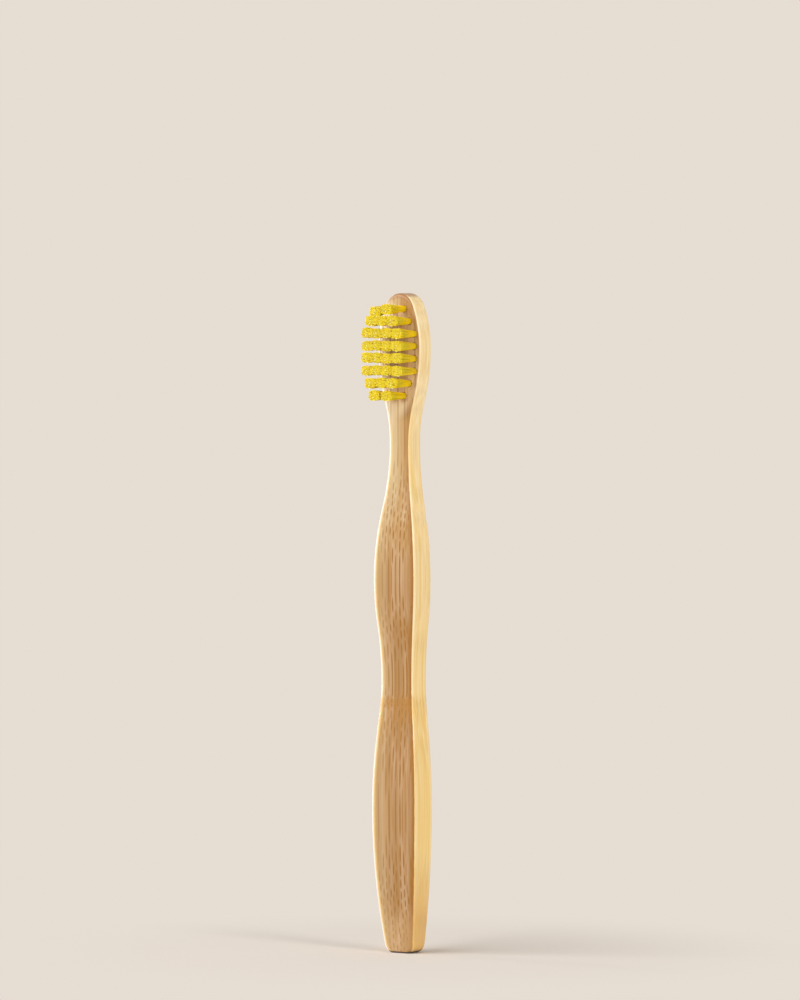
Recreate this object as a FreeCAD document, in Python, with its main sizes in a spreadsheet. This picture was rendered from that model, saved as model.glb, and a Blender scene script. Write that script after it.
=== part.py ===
import FreeCAD, Part
import math
import os
import Sketcher
from FreeCAD import Placement, Rotation, Vector

# A manual toothbrush: a bamboo handle in one piece, and folded tufts held by driven metal plates.
# It stands on its butt. Z runs up the handle, the bristles point along -Y and X is the width.
# The origin is the centre of the flat butt face. Lengths are in millimetres.

doc = FreeCAD.newDocument("toothbrush")

dimensions = {
    # Climb to each station of the handle from the one below it
    "lower_swell_rise": 33.0,
    "waist_rise": 29.0,
    "upper_swell_rise": 23.0,
    "neck_rise": 31.0,
    "head_rise": 21.5,
    "tip_rise": 12.5,
    # Width of the handle at each station, and the round top of the head
    "butt_width": 7.5,
    "lower_swell_width": 12.05,
    "waist_width": 8.65,
    "upper_swell_width": 11.3,
    "neck_width": 5.5,
    "head_width": 11.5,
    "tip_radius": 4.2,
    # Thickness at each station, from the flat back to the front; the head is as thick as the neck
    "butt_depth": 5.0,
    "lower_swell_depth": 7.5,
    "waist_depth": 6.2,
    "upper_swell_depth": 7.35,
    "neck_depth": 5.15,
    # Rounding of the handle
    "edge_radius": 0.8,
    "butt_corner_radius": 2.2,
    # Tuft holes in the head
    "hole_diameter": 1.5,
    "hole_depth": 3.0,
    "row_pitch": 2.82,
    "column_pitch": 2.82,
    "tip_margin": 3.5,
    # Plate driven across the fold of each tuft, at the bottom of its hole
    "anchor_width": 1.7,
    "anchor_height": 1.3,
    "anchor_thickness": 0.25,
    "anchor_seat": 0.35,
    # Tuft of nylon filaments, measured from the face of the head
    "bristle_length": 7.4,
    "tuft_tip_diameter": 2.05,
    "tuft_sides": 12,
    "fit_clearance": 0.02,
    # How far a cut runs past the wood
    "overrun": 2.0,
    # Where each S-curve of the handle turns over, as a share of its climb
    "waist_share": 0.7,
    "upper_swell_share": 0.55,
    "neck_share": 0.52,
    "head_share": 0.44,
}

width_stations = ["butt", "lower_swell", "waist", "upper_swell", "neck", "head"]
depth_stations = ["butt", "lower_swell", "waist", "upper_swell", "neck"]

# Tufts in each row, from the tip down
tufts_in_rows = [2, 3, 4, 4, 4, 4, 3, 2]

# What follows from the driving dimensions
derived = {
    "back_place": "=butt_depth / 2",
    "butt_height": "=0",
    "blank_depth": "=max(lower_swell_depth; upper_swell_depth; butt_depth; neck_depth) + overrun",
    "face_place": "=neck_depth - back_place",
    "slit_depth": "=hole_depth - anchor_seat + fit_clearance",
    "slit_width": "=anchor_width + 2 * fit_clearance",
    "slit_thickness": "=anchor_thickness + 2 * fit_clearance",
    "slit_height": "=slit_depth + overrun",
    "tuft_root_depth": "=hole_depth - fit_clearance",
    "tuft_root_radius": "=hole_diameter / 2 - fit_clearance",
    "tuft_tip_radius": "=tuft_tip_diameter / 2",
    "fold_width": "=hole_diameter + overrun",
    "fold_height": "=anchor_height + 2 * fit_clearance",
    "anchor_floor": "=hole_depth - anchor_seat",
}
for station in width_stations:
    derived[station + "_half"] = "=%s_width / 2" % station
for station in depth_stations:
    derived[station + "_front"] = "=%s_depth - back_place" % station
for lower, upper in zip(width_stations, width_stations[1:]):
    derived[upper + "_height"] = "=%s_height + %s_rise" % (lower, upper)
# The radius of the lower arc of an S-curve that is upright at both ends
bend = "=%s_share * ((%s - %s)^2 + %s_rise^2) / (2 * abs(%s - %s))"
for stations, suffix in [(width_stations, "_half"), (depth_stations, "_front")]:
    for lower, upper in zip(stations[1:], stations[2:]):
        low = lower + suffix
        high = upper + suffix
        derived[high + "_bend"] = bend % (upper, high, low, upper, high, low)
derived["overall_length"] = "=head_height + tip_rise"
derived["tip_centre"] = "=overall_length - tip_radius"
derived["profile_top"] = "=overall_length + overrun"
derived["profile_front"] = "=blank_depth - back_place + overrun"
for row in range(len(tufts_in_rows)):
    derived["row_%d_height" % (row + 1)] = "=overall_length - tip_margin - %d * row_pitch" % row

sheet = doc.addObject("Spreadsheet::Sheet", "sizes")
cells = {name: "%g" % value for name, value in dimensions.items()}
cells.update(derived)
for line, name in enumerate(cells, start=1):
    sheet.set("A%d" % line, name)
    sheet.setAlias("B%d" % line, name)
    sheet.set("B%d" % line, cells[name])
doc.recompute()


def read(name):
    return float(getattr(sheet, name))


def new_sketch(body, name, role):
    sketch = body.newObject("Sketcher::SketchObject", name)
    plane = [plane for plane in body.Origin.OriginFeatures if plane.Role == role][0]
    sketch.AttachmentSupport = [(plane, "")]
    sketch.MapMode = "FlatFace"
    return sketch


# How a sketch numbers its origin, its axes and the points of a line or an arc
origin = (-1, 1)
x_axis = -1
y_axis = -2
start_point, end_point, centre_point = range(1, 4)


def constrain(sketch, kind, *places):
    return sketch.addConstraint(Sketcher.Constraint(kind, *places))


def dimension(sketch, kind, places, value, formula):
    number = constrain(sketch, kind, *places, value)
    sketch.setExpression("Constraints[%d]" % number, formula)


# Dimensions a point from the middle of the sketch; side says which way it lies along x
def place_point(sketch, geometry, end, across, side, up):
    places = (*origin, geometry, end) if side > 0 else (geometry, end, *origin)
    dimension(sketch, "DistanceX", places, read(across), "sizes." + across)
    if read(up) == 0:
        constrain(sketch, "PointOnObject", geometry, end, x_axis)
    else:
        dimension(sketch, "DistanceY", (*origin, geometry, end), read(up), "sizes." + up)


def add_line(sketch, start, end):
    return sketch.addGeometry(Part.LineSegment(Vector(*start, 0), Vector(*end, 0)), False)


# Adds the arc from a low point to a high one; gives its number, and the numbers of its low and high ends
def add_arc(sketch, centre, low, high):
    low_angle = math.atan2(low[1] - centre[1], low[0] - centre[0])
    high_angle = math.atan2(high[1] - centre[1], high[0] - centre[0])
    radius = math.hypot(low[0] - centre[0], low[1] - centre[1])
    circle = Part.Circle(Vector(*centre, 0), Vector(0, 0, 1), radius)
    if low[0] > centre[0]:
        arc = Part.ArcOfCircle(circle, low_angle, high_angle)
        return sketch.addGeometry(arc, False), start_point, end_point
    arc = Part.ArcOfCircle(circle, high_angle, low_angle)
    return sketch.addGeometry(arc, False), end_point, start_point


# An S-curve of two tangent arcs, upright at both stations; the one that leaves the butt is its upper arc
def add_stretch(sketch, lower, upper, suffix, side):
    low = (side * read(lower + suffix), read(lower + "_height"))
    high = (side * read(upper + suffix), read(upper + "_height"))
    across = high[0] - low[0]
    climb = high[1] - low[1]
    both_radii = (across ** 2 + climb ** 2) / (2 * across)
    share = 0 if lower == "butt" else read(upper + "_share")
    turn = (low[0] + share * across, low[1] + share * climb)
    top_centre = (high[0] - (1 - share) * both_radii, high[1])
    arc, arc_low, arc_high = add_arc(sketch, top_centre, turn, high)
    constrain(sketch, "Horizontal", arc, centre_point, arc, arc_high)
    place_point(sketch, arc, arc_high, upper + suffix, side, upper + "_height")
    if share == 0:
        return (arc, arc_low), (arc, arc_high)
    bottom_centre = (low[0] + share * both_radii, low[1])
    below, below_low, below_high = add_arc(sketch, bottom_centre, low, turn)
    constrain(sketch, "Horizontal", below, centre_point, below, below_low)
    constrain(sketch, "Tangent", below, below_high, arc, arc_low)
    radius = upper + suffix + "_bend"
    dimension(sketch, "Radius", (below,), read(radius), "sizes." + radius)
    return (below, below_low), (arc, arc_high)


# The S-curves from the butt up, joined end to end; gives the low and high ends of the chain
def add_rail(sketch, stations, suffix, side):
    bottom, top = add_stretch(sketch, stations[0], stations[1], suffix, side)
    place_point(sketch, *bottom, stations[0] + suffix, side, stations[0] + "_height")
    for lower, upper in zip(stations[1:], stations[2:]):
        low_end, high_end = add_stretch(sketch, lower, upper, suffix, side)
        constrain(sketch, "Coincident", *top, *low_end)
        top = high_end
    return bottom, top


# The oval end of the head: one arc up each side, and a tighter one over the top
def add_tip(sketch, right_top, left_top):
    half = read("head_half")
    rise = read("tip_rise")
    low = read("head_height")
    radius = read("tip_radius")
    centre = read("tip_centre")
    side_radius = (half ** 2 + rise ** 2 - 2 * rise * radius) / (2 * (half - radius))
    lean = math.atan2(rise - radius, side_radius - half)
    turn = (radius * math.cos(lean), centre + radius * math.sin(lean))
    right = add_arc(sketch, (half - side_radius, low), (half, low), turn)
    left = add_arc(sketch, (side_radius - half, low), (-half, low), (-turn[0], turn[1]))
    circle = Part.Circle(Vector(0, centre, 0), Vector(0, 0, 1), radius)
    top = sketch.addGeometry(Part.ArcOfCircle(circle, lean, math.pi - lean), False)
    sides = [(right, right_top, start_point), (left, left_top, end_point)]
    for (arc, arc_low, arc_high), below, end in sides:
        constrain(sketch, "Coincident", *below, arc, arc_low)
        constrain(sketch, "Horizontal", arc, centre_point, arc, arc_low)
        constrain(sketch, "Tangent", arc, arc_high, top, end)
    constrain(sketch, "PointOnObject", top, centre_point, y_axis)
    dimension(sketch, "DistanceY", (*origin, top, centre_point), centre, "sizes.tip_centre")
    dimension(sketch, "Radius", (top,), radius, "sizes.tip_radius")


def check_sketch(sketch):
    if sketch.solve() != 0:
        raise RuntimeError("%s does not solve" % sketch.Name)
    if not sketch.FullyConstrained:
        print(sketch.Name, "is not fully constrained")


# Handle: the outline is cut from a board, then the front is shaped and every long edge rounded
wood = doc.addObject("PartDesign::Body", "wood")

outline = new_sketch(wood, "outline", "XZ_Plane")
outline.setExpression("AttachmentOffset.Base.z", "-sizes.back_place")
right_bottom, right_top = add_rail(outline, width_stations, "_half", 1)
left_bottom, left_top = add_rail(outline, width_stations, "_half", -1)
add_tip(outline, right_top, left_top)
butt_line = add_line(outline, (-read("butt_half"), 0), (read("butt_half"), 0))
constrain(outline, "Coincident", butt_line, start_point, *left_bottom)
constrain(outline, "Coincident", butt_line, end_point, *right_bottom)
doc.recompute()
check_sketch(outline)

blank = wood.newObject("PartDesign::Pad", "blank")
blank.Profile = outline
blank.setExpression("Length", "sizes.blank_depth")
doc.recompute()

# What the front loses: all before a wavy line that runs straight up the neck and the head
profile = new_sketch(wood, "profile", "YZ_Plane")
front_bottom, front_top = add_rail(profile, depth_stations, "_front", -1)
near_butt = -read("butt_front")
near_head = -read("neck_front")
far = -read("profile_front")
low = -read("overrun")
high = read("profile_top")
toe = add_line(profile, (near_butt, 0), (near_butt, low))
floor = add_line(profile, (near_butt, low), (far, low))
wall = add_line(profile, (far, low), (far, high))
roof = add_line(profile, (far, high), (near_head, high))
face = add_line(profile, (near_head, high), (near_head, read("neck_height")))
cut_lines = [toe, floor, wall, roof, face]
constrain(profile, "Coincident", *front_bottom, toe, start_point)
for before, after in zip(cut_lines, cut_lines[1:]):
    constrain(profile, "Coincident", before, end_point, after, start_point)
constrain(profile, "Coincident", face, end_point, *front_top)
for line in [toe, wall, face]:
    constrain(profile, "Vertical", line)
for line in [floor, roof]:
    constrain(profile, "Horizontal", line)
dimension(profile, "DistanceY", (toe, end_point, *origin), -low, "sizes.overrun")
dimension(profile, "DistanceY", (*origin, roof, end_point), high, "sizes.profile_top")
dimension(profile, "DistanceX", (wall, start_point, *origin), -far, "sizes.profile_front")
doc.recompute()
check_sketch(profile)

front = wood.newObject("PartDesign::Pocket", "front")
front.Profile = profile
front.Type = "ThroughAll"
front.SideType = "Symmetric"
doc.recompute()
if not front.Shape.Volume < blank.Shape.Volume:
    raise RuntimeError("the front cut took nothing away")


def at_butt(edge):
    return all(abs(vertex.Z) < Part.Precision.confusion() for vertex in edge.Vertexes)


def runs_along(edge, direction):
    if edge.Curve.TypeId != "Part::GeomLine":
        return False
    return edge.tangentAt(edge.FirstParameter).cross(direction).Length < Part.Precision.confusion()


corner_names = []
for number, edge in enumerate(front.Shape.Edges, start=1):
    if runs_along(edge, Vector(0, 1, 0)) and at_butt(edge):
        corner_names.append("Edge%d" % number)
corners = wood.newObject("PartDesign::Fillet", "corners")
corners.Base = (front, corner_names)
corners.setExpression("Radius", "sizes.butt_corner_radius")
doc.recompute()

# Seams between neighbouring arcs of a side run along Y, and those of the front along X
edge_names = []
for number, edge in enumerate(corners.Shape.Edges, start=1):
    side_seam = runs_along(edge, Vector(0, 1, 0))
    front_seam = runs_along(edge, Vector(1, 0, 0)) and not at_butt(edge)
    if not side_seam and not front_seam:
        edge_names.append("Edge%d" % number)
rounding = wood.newObject("PartDesign::Fillet", "rounding")
rounding.Base = (corners, edge_names)
rounding.setExpression("Radius", "sizes.edge_radius")
doc.recompute()


# Each tuft has its row, counted from the tip, its place in the row, and its offset in columns
tuft_places = []
for row, count in enumerate(tufts_in_rows, start=1):
    for place in range(1, count + 1):
        tuft_places.append((row, place, place - (count + 1) / 2))


# Dimensions a centre that lies whole or half columns from the middle of the head
def place_centre(sketch, circle, row, offset):
    across = abs(offset) * read("column_pitch")
    formula = "%g * sizes.column_pitch" % abs(offset)
    if offset == 0:
        constrain(sketch, "PointOnObject", circle, centre_point, y_axis)
    else:
        places = (*origin, circle, centre_point) if offset > 0 else (circle, centre_point, *origin)
        dimension(sketch, "DistanceX", places, across, formula)
    height = "row_%d_height" % row
    dimension(sketch, "DistanceY", (*origin, circle, centre_point), read(height), "sizes." + height)


hole_sketch = new_sketch(wood, "hole_circles", "XZ_Plane")
hole_sketch.setExpression("AttachmentOffset.Base.z", "sizes.face_place")
circles = []
for row, place, offset in tuft_places:
    centre = Vector(offset * read("column_pitch"), read("row_%d_height" % row), 0)
    circle = Part.Circle(centre, Vector(0, 0, 1), read("hole_diameter") / 2)
    circles.append(hole_sketch.addGeometry(circle, False))
    place_centre(hole_sketch, circles[-1], row, offset)
for circle in circles[1:]:
    constrain(hole_sketch, "Equal", circles[0], circle)
dimension(hole_sketch, "Diameter", (circles[0],), read("hole_diameter"), "sizes.hole_diameter")
doc.recompute()
check_sketch(hole_sketch)
holes = wood.newObject("PartDesign::Pocket", "holes")
holes.Profile = hole_sketch
holes.setExpression("Length", "sizes.hole_depth")
doc.recompute()
if not holes.Shape.Volume < rounding.Shape.Volume:
    raise RuntimeError("the tuft holes cut nothing")

# Turns a piece made upright so that its top points out of the face of the head
out_of_face = Rotation(Vector(1, 0, 0), 90)


# Binds a piece's own origin to the mouth of its hole, a distance in from the face and off its middle
def seat(piece, row, offset, inward="0", left="0", down="0"):
    piece.Placement = Placement(Vector(0, 0, 0), out_of_face)
    piece.setExpression("Placement.Base.x", "%g * sizes.column_pitch - %s" % (offset, left))
    piece.setExpression("Placement.Base.y", "%s - sizes.face_place" % inward)
    piece.setExpression("Placement.Base.z", "sizes.row_%d_height - %s" % (row, down))


# A many-sided ring of a tuft's outline, turned so that flat sides face the ends of the plate
def make_ring(name, radius, height):
    ring = doc.addObject("Part::RegularPolygon", name)
    ring.Placement = Placement(Vector(0, 0, 0), Rotation(Vector(0, 0, 1), 180 / read("tuft_sides")))
    ring.setExpression("Polygon", "sizes.tuft_sides")
    ring.setExpression("Circumradius", "sizes." + radius)
    ring.setExpression("Placement.Base.z", height)
    return ring


# The bundle fills its hole and flares past the face; its fold leaves room for the plate
rings = [
    make_ring("root_ring", "tuft_root_radius", "-sizes.tuft_root_depth"),
    make_ring("mouth_ring", "tuft_root_radius", "0"),
    make_ring("tip_ring", "tuft_tip_radius", "sizes.bristle_length"),
]
bundle = doc.addObject("Part::Loft", "bundle")
bundle.Sections = rings
bundle.Solid = True
bundle.Ruled = True
fold = doc.addObject("Part::Box", "fold")
fold.setExpression("Length", "sizes.fold_width")
fold.setExpression("Width", "sizes.slit_thickness")
fold.setExpression("Height", "sizes.fold_height")
fold.setExpression("Placement.Base.x", "-sizes.fold_width / 2")
fold.setExpression("Placement.Base.y", "-sizes.slit_thickness / 2")
fold.setExpression("Placement.Base.z", "-sizes.slit_depth")
doc.recompute()


def make_tuft(row, place, offset):
    tuft = doc.addObject("Part::Cut", "tuft_%d_%d" % (row, place))
    tuft.Label = "tuft_row%d_%d" % (row, place)
    tuft.Base = bundle
    tuft.Tool = fold
    seat(tuft, row, offset)
    return tuft


# An upright box, centred across its hole; its sizes are cells whose names start with the given word
def make_plate(name, word, floor, row, offset):
    plate = doc.addObject("Part::Box", name)
    plate.setExpression("Length", "sizes.%s_width" % word)
    plate.setExpression("Width", "sizes.%s_thickness" % word)
    plate.setExpression("Height", "sizes.%s_height" % word)
    half_width = "sizes.%s_width / 2" % word
    half_thickness = "sizes.%s_thickness / 2" % word
    seat(plate, row, offset, floor, half_width, half_thickness)
    return plate


tufts = []
anchors = []
slits = []
for row, place, offset in tuft_places:
    tufts.append(make_tuft(row, place, offset))
    anchor = make_plate("anchor_%d_%d" % (row, place), "anchor", "sizes.anchor_floor", row, offset)
    anchor.Label = "anchor_row%d_%d" % (row, place)
    anchors.append(anchor)
    slits.append(make_plate("slit_%d_%d" % (row, place), "slit", "sizes.slit_depth", row, offset))

# The plates cut their own slits beside the holes as they are driven in
all_slits = doc.addObject("Part::Compound", "slits")
all_slits.Links = slits
handle = doc.addObject("Part::Cut", "handle")
handle.Label = "handle"
handle.Base = wood
handle.Tool = all_slits
pieces = [handle] + tufts + anchors
doc.recompute()

for piece in doc.Objects:
    if "Invalid" in piece.State or "Error" in piece.State:
        raise RuntimeError("%s failed" % piece.Name)
for piece in pieces:
    if piece.Shape.isNull() or not piece.Shape.isValid() or len(piece.Shape.Solids) != 1:
        raise RuntimeError("%s is not one sound solid" % piece.Label)
for tuft in tufts:
    if not tuft.Shape.Volume < bundle.Shape.Volume:
        raise RuntimeError("%s has no room for its plate" % tuft.Label)
if not handle.Shape.Volume < wood.Shape.Volume:
    raise RuntimeError("the slits cut nothing")

os.makedirs("parts", exist_ok=True)
for piece in pieces:
    piece.Shape.exportStep("parts/%s.step" % piece.Label)

box = handle.Shape.optimalBoundingBox(False, False)
print("handle %.2f x %.2f x %.2f mm" % (box.XLength, box.YLength, box.ZLength))
print("%d pieces" % len(pieces))
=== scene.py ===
import math
import random

import bmesh
import bpy
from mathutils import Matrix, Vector


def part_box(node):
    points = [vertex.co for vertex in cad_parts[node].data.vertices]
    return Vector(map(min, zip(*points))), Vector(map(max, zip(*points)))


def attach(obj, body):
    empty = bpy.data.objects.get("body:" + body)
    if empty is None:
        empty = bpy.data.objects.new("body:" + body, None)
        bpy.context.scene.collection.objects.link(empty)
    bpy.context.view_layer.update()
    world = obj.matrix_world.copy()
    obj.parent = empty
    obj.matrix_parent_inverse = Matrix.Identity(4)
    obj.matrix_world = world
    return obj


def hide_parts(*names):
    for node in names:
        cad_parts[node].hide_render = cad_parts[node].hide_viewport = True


# Bamboo toothbrush that stands on its butt. The frame gives the handle and where each tuft sits.
# Everything is in metres: Z up the handle, -Y out of the bristles, X across.

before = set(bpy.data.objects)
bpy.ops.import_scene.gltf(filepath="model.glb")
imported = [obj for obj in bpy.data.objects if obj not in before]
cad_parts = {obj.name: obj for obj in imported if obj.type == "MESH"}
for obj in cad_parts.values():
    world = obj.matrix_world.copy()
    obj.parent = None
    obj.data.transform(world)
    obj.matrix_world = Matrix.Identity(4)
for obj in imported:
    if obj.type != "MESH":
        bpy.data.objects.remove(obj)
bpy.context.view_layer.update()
random.seed(41)
mm = 0.001
print("frame loaded")


# Colours are written as they look on a screen, 0 to 255
def fromScreen(red, green, blue):
    channels = []
    for level in (red, green, blue):
        level = level / 255
        channels.append(level / 12.92 if level <= 0.04045 else ((level + 0.055) / 1.055) ** 2.4)
    return tuple(channels)


def addNode(tree, kind, **fields):
    node = tree.nodes.new(kind)
    for key, value in fields.items():
        setattr(node, key, value)
    return node


# Gives a socket a plain value, a colour or a link, whichever it is handed
def feed(tree, socket, value):
    if isinstance(value, bpy.types.NodeSocket):
        tree.links.new(value, socket)
    elif isinstance(value, tuple) and len(socket.default_value) == 4:
        socket.default_value = (*value, 1)
    else:
        socket.default_value = value


def feedInOrder(tree, sockets, values):
    for socket, value in zip(sockets, values):
        feed(tree, socket, value)


def maths(tree, operation, *values):
    node = addNode(tree, "ShaderNodeMath", operation=operation)
    feedInOrder(tree, node.inputs, values)
    return node.outputs[0]


def vectorMaths(tree, operation, *values):
    node = addNode(tree, "ShaderNodeVectorMath", operation=operation)
    feedInOrder(tree, node.inputs, values)
    return node.outputs["Value" if operation in ("LENGTH", "DOT_PRODUCT") else "Vector"]


def product(tree, first, *others):
    for value in others:
        first = maths(tree, "MULTIPLY", first, value)
    return first


# Smooth step from 0 to 1 as the value goes from low to high
def rise(tree, value, low, high):
    node = addNode(tree, "ShaderNodeMapRange", interpolation_type="SMOOTHSTEP")
    sockets = [node.inputs[name] for name in ("Value", "From Min", "From Max")]
    feedInOrder(tree, sockets, (value, low, high))
    return node.outputs["Result"]


# Goes from one value to another as the mask goes from 0 to 1
def between(tree, mask, start, end):
    return maths(tree, "MULTIPLY_ADD", mask, end - start, start)


def blend(tree, share, first, second):
    node = addNode(tree, "ShaderNodeMix", data_type="RGBA")
    feedInOrder(tree, (node.inputs[0], node.inputs[6], node.inputs[7]), (share, first, second))
    return node.outputs[2]


# Paints tones over a colour one after another, each by its mask and its share of it
def layered(tree, colour, layers, masks, tones):
    for mask, share, tone in layers:
        colour = blend(tree, product(tree, masks[mask], share), colour, tones[tone])
    return colour


def objectPlace(tree):
    return addNode(tree, "ShaderNodeTexCoord").outputs["Object"]


def surfaceNormal(tree):
    return addNode(tree, "ShaderNodeTexCoord").outputs["Normal"]


def bevelNormal(tree, radius, samples):
    node = addNode(tree, "ShaderNodeBevel", samples=samples)
    node.inputs["Radius"].default_value = radius
    return node.outputs["Normal"]


def separate(tree, vector):
    node = addNode(tree, "ShaderNodeSeparateXYZ")
    feed(tree, node.inputs[0], vector)
    return node.outputs


def noise(tree, vector, scale, detail):
    node = addNode(tree, "ShaderNodeTexNoise")
    sockets = [node.inputs[name] for name in ("Vector", "Scale", "Detail")]
    feedInOrder(tree, sockets, (vector, scale, detail))
    return node.outputs


def addShader(tree, kind, values):
    node = addNode(tree, kind)
    for name, value in values.items():
        feed(tree, node.inputs[name], value)
    return node.outputs[0]


def mixShaders(tree, share, first, second):
    node = addNode(tree, "ShaderNodeMixShader")
    feedInOrder(tree, node.inputs, (share, first, second))
    return node.outputs[0]


def newMaterial(name):
    material = bpy.data.materials.new(name)
    material.use_nodes = True
    material.node_tree.nodes.clear()
    return material, material.node_tree


def showSurface(tree, shader, kind="ShaderNodeOutputMaterial"):
    feed(tree, addNode(tree, kind).inputs["Surface"], shader)


# Noise drawn out along the handle: fine lines in wood, rolling marks in strip, patches in nylon
def makeStreakGroup():
    group = bpy.data.node_groups.new("streaks", "ShaderNodeTree")
    group.interface.new_socket(name="Fineness", in_out="INPUT", socket_type="NodeSocketVector")
    for label in ("Detail", "Low", "High"):
        group.interface.new_socket(name=label, in_out="INPUT", socket_type="NodeSocketFloat")
    group.interface.new_socket(name="Mask", in_out="OUTPUT", socket_type="NodeSocketFloat")
    entries = addNode(group, "NodeGroupInput").outputs
    scaled = vectorMaths(group, "MULTIPLY", objectPlace(group), entries["Fineness"])
    grain = noise(group, scaled, 1.0, entries["Detail"])["Fac"]
    mask = rise(group, grain, entries["Low"], entries["High"])
    feed(group, addNode(group, "NodeGroupOutput").inputs["Mask"], mask)
    return group


streakGroup = makeStreakGroup()


def streaks(tree, fineness, detail, low, high):
    node = addNode(tree, "ShaderNodeGroup", node_tree=streakGroup)
    feedInOrder(tree, node.inputs, (fineness, detail, low, high))
    return node.outputs["Mask"]


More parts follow.
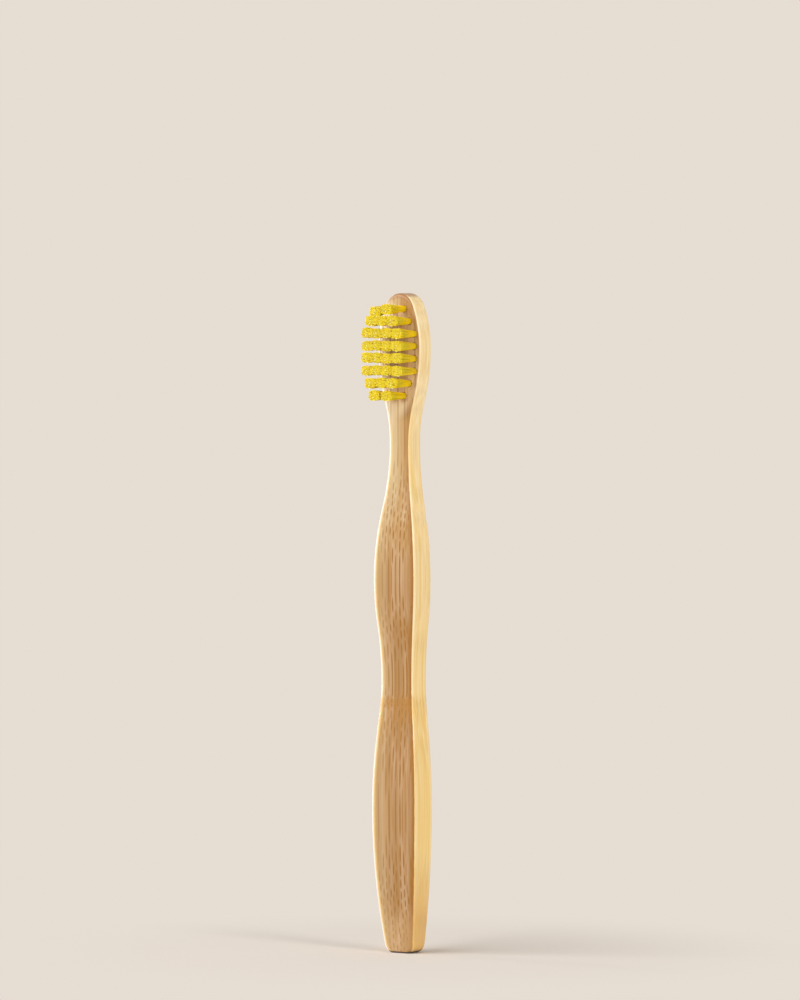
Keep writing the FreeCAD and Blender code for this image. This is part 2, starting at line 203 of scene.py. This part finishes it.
bamboo = {
    "tones": {
        "frontPale": fromScreen(198, 168, 126),
        "frontTan": fromScreen(180, 141, 84),
        "toastPale": fromScreen(190, 155, 118),
        "toastTan": fromScreen(164, 123, 72),
        "frontOrange": fromScreen(168, 112, 14),
        "fibreDark": fromScreen(146, 96, 0),
        "edgeShadeBrown": fromScreen(152, 98, 8),
        "litPale": fromScreen(202, 178, 134),
        "headLight": fromScreen(250, 240, 220),
        "shadeLiftPale": fromScreen(244, 220, 178),
        "sideCream": fromScreen(255, 238, 194),
        "sidePale": fromScreen(252, 228, 176),
        "sideYellow": fromScreen(247, 215, 138),
        "sideOrange": fromScreen(240, 192, 98),
        "sideButt": fromScreen(222, 176, 104),
        "holeShade": fromScreen(66, 46, 22),
        "edgeHighlight": fromScreen(252, 236, 196),
        "edgeOrange": fromScreen(236, 190, 112),
        "buttPale": fromScreen(228, 194, 146),
        "rimHighlight": fromScreen(252, 243, 228),
        "endGrain": fromScreen(164, 112, 62),
    },
    # Where each mask goes from 0 to 1, along the handle, across it, by how far the surface turns from the
    # front (0 front, 1 side, 2 back), by its slope, or by the reach of an oval on the head's face
    "fades": {
        "toast": ("up", 100 * mm, 82 * mm),
        "neck": ("up", 96 * mm, 112 * mm),
        "crown": ("up", 117 * mm, 123 * mm),
        "litSide": ("up", 42 * mm, 66 * mm),
        "lowSide": ("up", 24 * mm, 6 * mm),
        "nearButt": ("up", 13 * mm, 4 * mm),
        "nearFloor": ("up", 0.8 * mm, 0.3 * mm),
        "leftHalf": ("across", 0.3 * mm, -0.3 * mm),
        "leftLight": ("across", -0.2 * mm, -3.6 * mm),
        "neckLeft": ("across", 2.2 * mm, -1.6 * mm),
        "crownLeft": ("across", -0.6 * mm, -4.6 * mm),
        "tuftsLeft": ("across", 1.6 * mm, -1.8 * mm),
        "ovalRight": ("across", -2.6 * mm, 1.2 * mm),
        "side": ("turn", 0.4, 0.56),
        "edgeStart": ("turn", 0.42, 0.55),
        "edgeEnd": ("turn", 0.98, 0.8),
        "rimEnd": ("turn", 0.8, 0.5),
        "front": ("turn", 0.6, 0.2),
        "edgeShadeStart": ("softTurn", 0.02, 0.18),
        "glowStart": ("softTurn", 0.08, 0.2),
        "rimStart": ("softTurn", 0.2, 0.32),
        "softTop": ("softSlope", 0.12, 0.4),
        "top": ("slope", 0.72, 0.95),
        "underside": ("slope", -0.4, -0.7),
        "holeRim": ("rimDrop", 0.98, 0.86),
        "paleOval": ("paleReach", 1.15, 0.65),
    },
    # What is painted over the front, over the sides and over both: mask, share, tone
    "frontLayers": (
        ("fine", 0.45, "frontOrange"),
        # painted light on the left of the neck
        ("litNeckLeft", 0.9, "litPale"),
        # paler paint on the right of the head that lifts the shade cast by the tufts, a painted light
        ("shadeLiftHead", 0.9, "shadeLiftPale"),
        # painted light on the left of the crown and in the gaps between the left tufts
        ("lightLeft", 0.9, "headLight"),
        ("marks", 1.0, "fibreDark"),
        # painted shade along the front's right edge, weaker at the neck and on the left
        ("edgeShade", 1.0, "edgeShadeBrown"),
        ("nearButt", 0.24, "buttPale"),
        # painted light down the left of the front
        ("leftLight", 0.28, "litPale"),
        ("jointStreaks", 0.6, "frontOrange"),
        # painted glow along the front's left edge
        ("glow", 1.0, "sideOrange"),
    ),
    "sideLayers": (
        ("crown", 0.55, "sideCream"),
        ("lowSide", 0.9, "sideButt"),
        ("fine", 0.4, "sideOrange"),
        ("bundle", 0.14, "fibreDark"),
        # painted highlight on the rounded edge to the side, up the handle; lower down, that edge is a
        # duller orange
        ("litEdge", 0.7, "edgeHighlight"),
        ("dullEdge", 1.0, "edgeOrange"),
        ("jointStreaks", 0.7, "sideOrange"),
    ),
    "commonLayers": (
        # painted highlight along the left rim
        ("rim", 1.0, "rimHighlight"),
        ("ridge", 1.0, "frontOrange"),
        ("endGrain", 0.9, "endGrain"),
        ("shaded", 1.0, "holeShade"),
    ),
    "softEdge": 2.3 * mm,  # how far in from an edge the painted edge shade, glow and rim highlight reach, and the end grain on top
    "softSamples": 8,
    "holeEdge": 0.4 * mm,  # how far out the shade round a tuft hole reaches
    "holeSamples": 6,
    "drilledMiddle": 136.7 * mm,  # oval on the face that holds the tuft holes
    "drilledHalves": (5.3 * mm, 10.9 * mm),
    "drilledFade": (1.0, 0.9),
    "paleMiddle": 134.6 * mm,  # larger oval in which paler paint lifts the shade of the tufts
    "paleHalves": (5.6 * mm, 12.6 * mm),
    "jointHeight": 57.4 * mm,  # where the culm has its joint
    "jointBandFades": (1.2 * mm, 1.2 * mm),  # above and below it
    "jointGlowFades": (1.0 * mm, 9.0 * mm),
    "swayScale": (45, 45, 24),  # slow sway of the fibres
    "swayDetail": 1.0,
    "swayReach": (1.0 * mm, 1.0 * mm, 0),
    "kinkScale": 420.0,  # quick kinks at the joint
    "kinkDetail": 2.0,
    "kinkReach": 0.5 * mm,
    "fibreSpacing": (0.96 * mm, 0.24 * mm),  # across and front to back
    "columnShift": 0.25,
    "columnStagger": 0.5,
    "bundleStraying": 0.5,
    "bundleShares": (0.24, 0.47),  # half a bundle in those spacings
    "bundleRim": (1.05, 0.6),
    "bundleStrength": (-0.4, 0.7),
    "bundleTone": 0.35,
    "fineStreaks": ((1700.0, 1700.0, 22.0), 4.0, 0.38, 0.62),  # fineness, detail, low, high
    "broadStreaks": ((520.0, 900.0, 14.0), 2.0, 0.36, 0.64),
    "edgePatches": ((60.0, 60.0, 60.0), 2.0, 0.3, 0.6),
    "ridgePatches": ((900.0, 900.0, 420.0), 2.0, 0.42, 0.66),
    # How strong a mark is away from the part that the name ends with, and on that part
    "marksToNeck": (0.92, 0.5),
    "edgeShadeToNeck": (0.85, 0.35),
    "edgeShadeToLeft": (1.0, 0.3),
    "glowToCrown": (1.0, 0.2),
    "dullEdgeToLit": (0.5, 0.0),
    "rimToJoint": (1.0, 0.3),
    "ridgeToSide": (0.55, 0.15),
    "bumpOfBundles": -0.7,  # bundles lie lower than the fine lines between them
    "bumpStrength": 0.35,
    "bumpHeight": 0.02 * mm,
    "roughness": (0.42, 0.52),
    "coat": 0.35,
    "coatRoughness": 0.28,
}


# 1 at the joint of the culm, fading over a distance above it and another below it
def jointFade(tree, height, above, below):
    gap = maths(tree, "SUBTRACT", height, bamboo["jointHeight"])
    upper = maths(tree, "DIVIDE", maths(tree, "MAXIMUM", gap, 0.0), above)
    lower = maths(tree, "DIVIDE", maths(tree, "MINIMUM", gap, 0.0), below)
    gap = maths(tree, "ADD", upper, lower)
    return maths(tree, "EXPONENT", product(tree, gap, gap, -1.0))


# The place, moved a little to and fro across the handle, so that no fibre is quite straight
def swayedPlace(tree, jointBand):
    slow = vectorMaths(tree, "MULTIPLY", objectPlace(tree), bamboo["swayScale"])
    wander = noise(tree, slow, 1.0, bamboo["swayDetail"])["Color"]
    moved = vectorMaths(tree, "MULTIPLY_ADD", wander, bamboo["swayReach"], objectPlace(tree))
    ripple = noise(tree, objectPlace(tree), bamboo["kinkScale"], bamboo["kinkDetail"])["Color"]
    kink = vectorMaths(tree, "MULTIPLY", ripple, product(tree, jointBand, bamboo["kinkReach"]))
    return vectorMaths(tree, "ADD", moved, kink)


def turnFromFront(tree, facing):
    across = maths(tree, "ABSOLUTE", facing["X"])
    turn = maths(tree, "ARCTAN2", across, product(tree, facing["Y"], -1.0))
    return product(tree, turn, 2 / math.pi)


# 0 in the middle of an oval on the head's face, 1 on its outline
def ovalReach(tree, place, middle, halves):
    across = maths(tree, "DIVIDE", place["X"], halves[0])
    up = maths(tree, "DIVIDE", maths(tree, "SUBTRACT", place["Z"], middle), halves[1])
    return maths(tree, "ADD", product(tree, across, across), product(tree, up, up))


# Vascular bundles run up the culm: a sloping face cuts them into dashes, an upright one into lines
def makeBundles(tree, jointBand):
    spot = vectorMaths(tree, "DIVIDE", swayedPlace(tree, jointBand), (*bamboo["fibreSpacing"], 1))
    spot = separate(tree, spot)
    column = maths(tree, "FLOOR", maths(tree, "ADD", spot["X"], bamboo["columnShift"]))
    row = maths(tree, "MULTIPLY_ADD", column, bamboo["columnStagger"], spot["Y"])
    staggered = addShader(tree, "ShaderNodeCombineXYZ", {"X": spot["X"], "Y": row})
    cells = addNode(tree, "ShaderNodeTexVoronoi", voronoi_dimensions="2D")
    cells.inputs["Scale"].default_value = 1.0
    cells.inputs["Randomness"].default_value = bamboo["bundleStraying"]
    feed(tree, cells.inputs["Vector"], staggered)
    off = vectorMaths(tree, "SUBTRACT", staggered, cells.outputs["Position"])
    squeezed = vectorMaths(tree, "DIVIDE", off, (*bamboo["bundleShares"], 1))
    chance = separate(tree, cells.outputs["Color"])
    inside = rise(tree, vectorMaths(tree, "LENGTH", squeezed), *bamboo["bundleRim"])
    bundle = product(tree, inside, rise(tree, chance["X"], *bamboo["bundleStrength"]))
    return bundle, chance["Y"]


def makeWoodMasks(tree):
    place = separate(tree, objectPlace(tree))
    facing = separate(tree, surfaceNormal(tree))
    rounded = separate(tree, bevelNormal(tree, bamboo["softEdge"], bamboo["softSamples"]))
    holeNormal = bevelNormal(tree, bamboo["holeEdge"], bamboo["holeSamples"])
    drilledReach = ovalReach(tree, place, bamboo["drilledMiddle"], bamboo["drilledHalves"])
    drilled = rise(tree, drilledReach, *bamboo["drilledFade"])
    undrilled = maths(tree, "SUBTRACT", 1.0, drilled)
    # The soft edge also finds the rims of the tuft holes, which are shaded and get no painted edge shade
    # or light
    turn = turnFromFront(tree, facing)
    softTurn = product(tree, turnFromFront(tree, rounded), undrilled)
    sources = {
        "up": place["Z"],
        "across": place["X"],
        "turn": turn,
        "softTurn": maths(tree, "MAXIMUM", softTurn, turn),
        "slope": facing["Z"],
        "softSlope": rounded["Z"],
        "rimDrop": vectorMaths(tree, "DOT_PRODUCT", holeNormal, surfaceNormal(tree)),
        "paleReach": ovalReach(tree, place, bamboo["paleMiddle"], bamboo["paleHalves"]),
    }
    masks = {}
    for name, (source, low, high) in bamboo["fades"].items():
        masks[name] = rise(tree, sources[source], low, high)

    jointBand = jointFade(tree, place["Z"], *bamboo["jointBandFades"])
    jointGlow = jointFade(tree, place["Z"], *bamboo["jointGlowFades"])
    masks["fine"] = streaks(tree, *bamboo["fineStreaks"])
    masks["broad"] = streaks(tree, *bamboo["broadStreaks"])
    masks["jointStreaks"] = product(tree, jointGlow, masks["fine"])
    masks["bundle"], masks["bundleChance"] = makeBundles(tree, jointBand)
    markStrength = between(tree, masks["neck"], *bamboo["marksToNeck"])
    masks["marks"] = product(tree, masks["bundle"], markStrength)

    # The front is toasted, and painted light makes the left of the neck paler
    masks["litNeckLeft"] = product(tree, masks["neck"], masks["neckLeft"])
    # Paler paint on the right of the head lifts the shade that the tufts cast there
    masks["shadeLiftHead"] = product(tree, masks["paleOval"], masks["ovalRight"])
    # Painted light on the left of the crown and between the tufts on the left
    crownLight = product(tree, masks["crown"], masks["crownLeft"])
    masks["lightLeft"] = maths(tree, "MAXIMUM", crownLight, product(tree, drilled, masks["tuftsLeft"]))
    # Painted shade along the front's edge, mostly on the right
    edgeShadeAtNeck = between(tree, masks["neck"], *bamboo["edgeShadeToNeck"])
    edgeShadeAtLeft = between(tree, masks["leftHalf"], *bamboo["edgeShadeToLeft"])
    masks["edgeShade"] = product(tree, masks["edgeShadeStart"], edgeShadeAtNeck, edgeShadeAtLeft)
    # Painted glow along the front's left edge, weaker at the crown
    glowAtCrown = between(tree, masks["crown"], *bamboo["glowToCrown"])
    masks["glow"] = product(tree, masks["leftHalf"], masks["glowStart"], glowAtCrown)

    # Painted highlight on the rounded edge up the handle, a duller orange lower down
    edge = product(tree, masks["edgeStart"], masks["edgeEnd"], streaks(tree, *bamboo["edgePatches"]))
    masks["litEdge"] = product(tree, edge, masks["litSide"])
    masks["dullEdge"] = product(tree, edge, between(tree, masks["litSide"], *bamboo["dullEdgeToLit"]))
    # Painted highlight along the left rim, weaker at the joint
    rimAtJoint = between(tree, jointGlow, *bamboo["rimToJoint"])
    masks["rim"] = product(tree, masks["leftHalf"], masks["rimStart"], masks["rimEnd"], rimAtJoint)
    ridgeAtSide = between(tree, masks["side"], *bamboo["ridgeToSide"])
    masks["ridge"] = product(tree, jointBand, streaks(tree, *bamboo["ridgePatches"]), ridgeAtSide)
    softTop = product(tree, masks["softTop"], masks["front"], undrilled)
    masks["endGrain"] = maths(tree, "MAXIMUM", softTop, masks["top"])
    # The tuft holes and the rounded edge under the butt hardly see the light
    underButt = product(tree, masks["underside"], masks["nearFloor"])
    masks["shaded"] = maths(tree, "MAXIMUM", product(tree, drilled, masks["holeRim"]), underButt)
    return masks


def makeBamboo():
    material, tree = newMaterial("bamboo")
    masks, tones = makeWoodMasks(tree), bamboo["tones"]
    pale = blend(tree, masks["toast"], tones["frontPale"], tones["toastPale"])
    tan = blend(tree, masks["toast"], tones["frontTan"], tones["toastTan"])
    front = blend(tree, masks["broad"], pale, tan)
    front = blend(tree, product(tree, masks["bundleChance"], bamboo["bundleTone"]), front, tan)
    front = layered(tree, front, bamboo["frontLayers"], masks, tones)
    side = blend(tree, masks["broad"], tones["sidePale"], tones["sideYellow"])
    side = layered(tree, side, bamboo["sideLayers"], masks, tones)
    colour = blend(tree, masks["side"], front, side)
    colour = layered(tree, colour, bamboo["commonLayers"], masks, tones)
    bump = addShader(tree, "ShaderNodeBump", {
        "Strength": bamboo["bumpStrength"],
        "Distance": bamboo["bumpHeight"],
        "Height": maths(tree, "MULTIPLY_ADD", masks["bundle"], bamboo["bumpOfBundles"], masks["fine"]),
    })
    showSurface(tree, addShader(tree, "ShaderNodeBsdfPrincipled", {
        "Base Color": colour,
        "Normal": bump,
        "Roughness": between(tree, masks["fine"], *bamboo["roughness"]),
        "Coat Weight": bamboo["coat"],
        "Coat Roughness": bamboo["coatRoughness"],
    }))
    return material


def dress(nodeName, material):
    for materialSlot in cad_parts[nodeName].material_slots:
        materialSlot.material = material


dress("handle", makeBamboo())
print("handle finished in bamboo")


bristles = {
    "filaments": 150,
    "filamentRadius": 0.12 * mm,
    "sides": 6,
    "spiralPlay": 0.03,
    "turnPlay": 0.15,
    "innerShare": 0.74,  # filaments inside this share of the bundle are cut short
    "innerStart": 0.66,
    "seatDepth": 2.98 * mm,  # from the face of the head to the bottom of a tuft
    "startDepth": 1.3 * mm,  # the filaments begin clear of the plates
    "startPlay": (0.9, 1.0),
    "rootSpread": 0.56 * mm,
    "tipSpreadAcross": 1.42 * mm,
    "tipSpreadUp": 1.13 * mm,
    "squareness": 4.0,  # 2 is round
    "unevenness": 0.1 * mm,  # how far short of the tips a cut end may be
    "straying": 0.05 * mm,
    "straightTo": 0.9,
    "straightSteps": 3,
    "leanPower": 1.25,
    "roundedEnd": ((1.0, 1.0), (0.4, 0.78), (0.0, 0.35)),  # distance from the tip and radius, in radii
    "leans": {  # across and up, in mm, by row and place
        (1, 1): (-0.1, -0.5),
        (1, 2): (0, 0.1),
        (2, 1): (0.1, 0.2),
        (7, 1): (-0.05, 0.2),
        (8, 1): (-0.45, 0.15),
    },
    "outerLean": (0.42, 0.22),  # the first tuft of any other row
    "innerLean": (0, 0.22),
    "leanPlay": (0.06, 0.1),
    "nylon": {
        "root": fromScreen(255, 206, 0),
        "flush": fromScreen(218, 188, 14),
        "flushFade": (0.15, 0.8),
        "green": fromScreen(222, 200, 36),
        "greenFade": (0.55, 0.95),
        "greenPatches": ((420.0, 420.0, 420.0), 1.0, 0.42, 0.62),
        # painted highlight on the cut tips
        "cut": fromScreen(224, 202, 64),
        "cutFade": (0.975, 0.99),
        "glinting": fromScreen(255, 250, 196),  # painted highlight: a few filament ends are nearly white, as if catching the light
        "glintFade": (0.85, 0.95),
        "glintChance": (0.96, 0.97),
        "brightness": (0.94, 1.06),
        "roughness": 0.45,
        "specular": 0.2,
        "subsurface": 0.8,
        "subsurfaceRadius": (1.0, 0.85, 0.1),
        "subsurfaceScale": 0.4 * mm,
        "shadeTint": fromScreen(255, 255, 252),
        "shadeShare": 0.99,  # of the light that passes a filament
    },
}


def makeNylon(faceY, tipY):
    material, tree = newMaterial("yellow_nylon")
    nylon = bristles["nylon"]
    # 0 at the face of the head, 1 at the cut tips
    outward = maths(tree, "SUBTRACT", separate(tree, objectPlace(tree))["Y"], faceY)
    along = maths(tree, "DIVIDE", outward, tipY - faceY)
    colour = blend(tree, rise(tree, along, *nylon["flushFade"]), nylon["root"], nylon["flush"])
    green = product(tree, rise(tree, along, *nylon["greenFade"]), streaks(tree, *nylon["greenPatches"]))
    colour = blend(tree, green, colour, nylon["green"])
    # Painted highlight: the last bit of each filament is paler
    colour = blend(tree, rise(tree, along, *nylon["cutFade"]), colour, nylon["cut"])
    chance = addNode(tree, "ShaderNodeNewGeometry").outputs["Random Per Island"]
    # Painted highlight: a few filament ends turn nearly white
    chosen = rise(tree, chance, *nylon["glintChance"])
    glinting = product(tree, chosen, rise(tree, along, *nylon["glintFade"]))
    colour = blend(tree, glinting, colour, nylon["glinting"])
    brightness = between(tree, chance, *nylon["brightness"])
    colour = addShader(tree, "ShaderNodeHueSaturation", {"Color": colour, "Value": brightness})
    shader = addShader(tree, "ShaderNodeBsdfPrincipled", {
        "Base Color": colour,
        "Roughness": nylon["roughness"],
        "Specular IOR Level": nylon["specular"],
        "Subsurface Weight": nylon["subsurface"],
        "Subsurface Radius": nylon["subsurfaceRadius"],
        "Subsurface Scale": nylon["subsurfaceScale"],
    })
    # Light gets through the clear filaments, so what lies behind them is tinted and not dark
    clear = addShader(tree, "ShaderNodeBsdfTransparent", {"Color": nylon["shadeTint"]})
    shadowRay = addNode(tree, "ShaderNodeLightPath").outputs["Is Shadow Ray"]
    passing = product(tree, shadowRay, nylon["shadeShare"])
    showSurface(tree, mixShaders(tree, passing, shader, clear))
    return material


# Places in a round bundle from the middle out, on a sunflower spiral with some play
def bundlePlaces(count):
    goldenTurn = math.pi * (3 - math.sqrt(5))
    places = []
    for number in range(count):
        play = random.uniform(-bristles["spiralPlay"], bristles["spiralPlay"])
        reach = min(1.0, math.sqrt((number + 0.5) / count) + play)
        turn = number * goldenTurn + random.uniform(-bristles["turnPlay"], bristles["turnPlay"])
        places.append((reach * math.cos(turn), reach * math.sin(turn)))
    return places


# How far a place in a round bundle moves out when the bundle is pressed nearly square
def squareShare(shareX, shareZ):
    reach = math.hypot(shareX, shareZ)
    power = bristles["squareness"]
    return reach / (abs(shareX) ** power + abs(shareZ) ** power) ** (1 / power)


# Thin tube that leaves its hole straight and leans out, with a rounded cut end
def addFilament(mesh, root, tip, start):
    radius, sides = bristles["filamentRadius"], bristles["sides"]
    length = (tip - root).length
    steps = bristles["straightSteps"]
    straight = bristles["straightTo"] - start
    stations = [(start + straight * step / steps, radius) for step in range(steps + 1)]
    stations += [(1 - back * radius / length, width * radius) for back, width in bristles["roundedEnd"]]
    angles = [2 * math.pi * side / sides for side in range(sides)]
    rings = []
    for share, width in stations:
        lean = share ** bristles["leanPower"]
        centre = Vector((root.x + (tip.x - root.x) * lean, root.y + (tip.y - root.y) * share,
                         root.z + (tip.z - root.z) * lean))
        rings.append([mesh.verts.new(centre + Vector((math.cos(turn), 0, math.sin(turn))) * width)
                      for turn in angles])
    for lower, upper in zip(rings, rings[1:]):
        for side in range(sides):
            following = (side + 1) % sides
            mesh.faces.new((lower[side], lower[following], upper[following], upper[side]))
    mesh.faces.new(list(reversed(rings[0])))
    mesh.faces.new(rings[-1])


# The tufts round the head's tip lean back to its middle, and those at the neck lean out a little
def tuftLean(row, place):
    usual = bristles["outerLean"] if place == 1 else bristles["innerLean"]
    across, up = bristles["leans"].get((row, place), usual)
    playAcross, playUp = bristles["leanPlay"]
    across += random.uniform(-playAcross, playAcross)
    up += random.uniform(-playUp, playUp)
    return Vector((across, 0, up)) * mm


def makeTuft(nodeName, material):
    low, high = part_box(nodeName)
    faceY, tipY = high.y - bristles["seatDepth"], low.y
    row, place = map(int, nodeName.removeprefix("tuft_row").split("_"))
    middle = Vector(((low.x + high.x) / 2, 0, (low.z + high.z) / 2))
    lean = tuftLean(row, place)
    mesh = bmesh.new()
    for shareX, shareZ in bundlePlaces(bristles["filaments"]):
        root = middle + Vector((shareX, 0, shareZ)) * bristles["rootSpread"]
        root.y = faceY + bristles["startDepth"] * random.uniform(*bristles["startPlay"])
        # Neighbours in a row fan out until they meet, so a bundle's end is squarer than its root
        swell = squareShare(shareX, shareZ)
        tip = middle + lean
        tip += Vector((shareX * bristles["tipSpreadAcross"], 0, shareZ * bristles["tipSpreadUp"])) * swell
        tip += Vector((random.gauss(0, 1), 0, random.gauss(0, 1))) * bristles["straying"]
        tip.y = tipY + random.random() ** 2 * bristles["unevenness"]
        # Those inside the bundle show at its end alone
        inner = math.hypot(shareX, shareZ) <= bristles["innerShare"]
        addFilament(mesh, root, tip, bristles["innerStart"] if inner else 0)
    for face in mesh.faces:
        face.smooth = True
    data = bpy.data.meshes.new("bundle_" + nodeName)
    mesh.to_mesh(data)
    mesh.free()
    piece = bpy.data.objects.new("bristles_row%d_%d" % (row, place), data)
    bpy.context.scene.collection.objects.link(piece)
    data.materials.append(material)
    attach(piece, "root")
    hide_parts(nodeName)


tuftNodes = sorted(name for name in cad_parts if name.startswith("tuft_"))
tuftLow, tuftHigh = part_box(tuftNodes[0])
nylonMaterial = makeNylon(tuftHigh.y - bristles["seatDepth"], tuftLow.y)
for name in tuftNodes:
    makeTuft(name, nylonMaterial)
print("tufts made:", len(tuftNodes))


brass = {
    "bright": fromScreen(214, 184, 120),
    "dull": fromScreen(176, 146, 92),
    "rollingMarks": ((900.0, 9000.0, 900.0), 3.0, 0.3, 0.8),
    "roughness": (0.3, 0.5),
}


def makeBrass():
    material, tree = newMaterial("nickel_brass")
    rolled = streaks(tree, *brass["rollingMarks"])
    showSurface(tree, addShader(tree, "ShaderNodeBsdfPrincipled", {
        "Base Color": blend(tree, rolled, brass["bright"], brass["dull"]),
        "Roughness": between(tree, rolled, *brass["roughness"]),
        "Metallic": 1.0,
    }))
    return material


brassMaterial = makeBrass()
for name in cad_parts:
    if name.startswith("anchor_"):
        dress(name, brassMaterial)
print("plates finished in brass")


stage = {
    "backdrop": fromScreen(230, 221, 211),
    "paper": fromScreen(229, 221, 213),
    "floorRadius": 4.0,
    "floorSides": 128,
    "litRadius": 0.03,  # in metres from the brush
    "backdropRadius": 0.1,
    "skyColour": (1.0, 0.945, 0.865),
    "skyStrength": 0.42,
    "lampAim": (0, 0, 0.08),
}


# The floor is lit near the brush and goes over into the backdrop's plain colour further out
def makeFloor():
    sides, radius = stage["floorSides"], stage["floorRadius"]
    bpy.ops.mesh.primitive_circle_add(vertices=sides, radius=radius, fill_type="NGON")
    floor = bpy.context.object
    floor.name = "floor"
    material, tree = newMaterial("floor_paper")
    paper = addShader(tree, "ShaderNodeBsdfDiffuse", {"Color": stage["paper"]})
    backdrop = addShader(tree, "ShaderNodeEmission", {"Color": stage["backdrop"]})
    outward = vectorMaths(tree, "LENGTH", objectPlace(tree))
    far = rise(tree, outward, stage["litRadius"], stage["backdropRadius"])
    cameraRay = addNode(tree, "ShaderNodeLightPath").outputs["Is Camera Ray"]
    showSurface(tree, mixShaders(tree, product(tree, far, cameraRay), paper, backdrop))
    floor.data.materials.append(material)


# The camera and mirrored rays see the backdrop's colour, and the sky lights the rest
def makeWorld():
    world = bpy.data.worlds.new("studio")
    bpy.context.scene.world = world
    world.use_nodes = True
    tree = world.node_tree
    tree.nodes.clear()
    seen = addShader(tree, "ShaderNodeBackground", {"Color": stage["backdrop"]})
    skyLight = {"Color": stage["skyColour"], "Strength": stage["skyStrength"]}
    sky = addShader(tree, "ShaderNodeBackground", skyLight)
    path = addNode(tree, "ShaderNodeLightPath").outputs
    mirrored = maths(tree, "MAXIMUM", path["Is Glossy Ray"], path["Is Transmission Ray"])
    shown = mixShaders(tree, maths(tree, "MAXIMUM", path["Is Camera Ray"], mirrored), sky, seen)
    showSurface(tree, shown, "ShaderNodeOutputWorld")


# Columns and rows are those of a picture of 800 x 1000 pixels
camera = {
    "azimuth": 34.0,
    "elevation": 2.4,
    "pixelSize": 0.2276 * mm,  # at the brush
    "focalPixels": 8000.0,
    "frameHeight": 1000.0,
    "aimColumn": 400.0,
    "aimRow": 500.0,
    "originColumn": 405.1,  # where the middle of the butt stands in the picture
    "originRow": 952.3,
    "sensor": 36,
    "clipStart": 0.05,
    "clipEnd": 20,
}


def viewAxes():
    turn = math.radians(camera["azimuth"])
    tilt = math.radians(camera["elevation"])
    right = Vector((math.cos(turn), math.sin(turn), 0))
    back = Vector((math.sin(turn) * math.cos(tilt), -math.cos(turn) * math.cos(tilt), math.sin(tilt)))
    return right, back, back.cross(right)


def makeCamera():
    right, back, up = viewAxes()
    distance = camera["focalPixels"] * camera["pixelSize"]
    across = (camera["aimColumn"] - camera["originColumn"]) * camera["pixelSize"]
    climb = (camera["originRow"] - camera["aimRow"]) * camera["pixelSize"]
    data = bpy.data.cameras.new("camera")
    data.sensor_width = camera["sensor"]
    data.lens = camera["sensor"] * camera["focalPixels"] / camera["frameHeight"]
    data.clip_start = camera["clipStart"]
    data.clip_end = camera["clipEnd"]
    eye = bpy.data.objects.new("camera", data)
    bpy.context.scene.collection.objects.link(eye)
    eye.location = right * across + up * climb + back * distance
    eye.rotation_mode = "QUATERNION"
    eye.rotation_quaternion = back.to_track_quat("Z", "Y")
    bpy.context.scene.camera = eye


# Lamps by where they stand in the picture: right of the brush, towards the viewer, above the floor
lamps = {
    "key": {"place": (-1.45, 0.75, 1.15), "size": (2.4, 0.4), "power": 35.0, "colour": (0.97, 0.99, 1.02)},
    "fill": {"place": (0.7, 0.9, 0.4), "size": (0.3, 0.4), "power": 5.5, "colour": (1.0, 1.0, 1.0)},
    "rim": {"place": (-0.7, -0.5, 0.1), "size": (0.08, 0.4), "power": 1.7, "colour": (1.0, 0.98, 0.94)},
}


def addLamp(name, place, size, power, colour):
    right, back, up = viewAxes()
    rightward, forward, height = place
    level = Vector((back.x, back.y, 0)).normalized()
    data = bpy.data.lights.new(name, "AREA")
    data.shape = "RECTANGLE"
    data.size, data.size_y = size
    data.energy = power
    data.color = colour
    lamp = bpy.data.objects.new(name, data)
    bpy.context.scene.collection.objects.link(lamp)
    lamp.location = right * rightward + level * forward + Vector((0, 0, height))
    lamp.rotation_mode = "QUATERNION"
    lamp.rotation_quaternion = (Vector(stage["lampAim"]) - lamp.location).to_track_quat("-Z", "Y")


makeFloor()
makeWorld()
makeCamera()
for name, settings in lamps.items():
    addLamp(name, **settings)
bpy.context.scene.view_settings.view_transform = "Standard"
print("stage, lamps and camera set")
